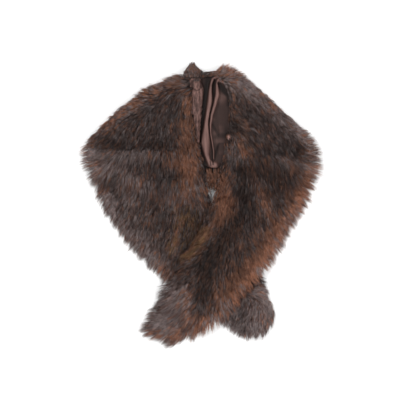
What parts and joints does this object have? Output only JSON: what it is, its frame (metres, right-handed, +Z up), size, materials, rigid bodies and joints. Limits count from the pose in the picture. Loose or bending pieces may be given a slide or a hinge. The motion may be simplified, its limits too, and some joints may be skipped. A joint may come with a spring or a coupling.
{
  "type": "fur collar wrap",
  "caption": "Shaped fur collar wrap with a satin lining, laid flat with its shoulders folded and one front crossed over the other.",
  "frame": {"origin": "on the surface the wrap lies on, below the middle of its outline", "axes": "+X to the right, +Y towards the neck edge, +Z up out of the fronts' fur side"},
  "size_m": [0.4954, 0.5819, 0.0398],
  "materials": {
    "fur": "long dark brown fur with rust and grey tips",
    "short_fur": "short dense brown nap",
    "satin": "mauve-brown satin"
  },
  "bodies": {
    "root": {"back_pelt": "fur", "left_shoulder_pelt": "fur", "left_breast_pelt": "fur", "left_end_pelt": "fur", "right_shoulder_pelt": "fur", "right_breast_pelt": "fur", "right_end_pelt": "fur", "collar_corner": "short_fur", "back_lining": "satin", "left_neck_facing": "satin"}
  },
  "joints": []
}
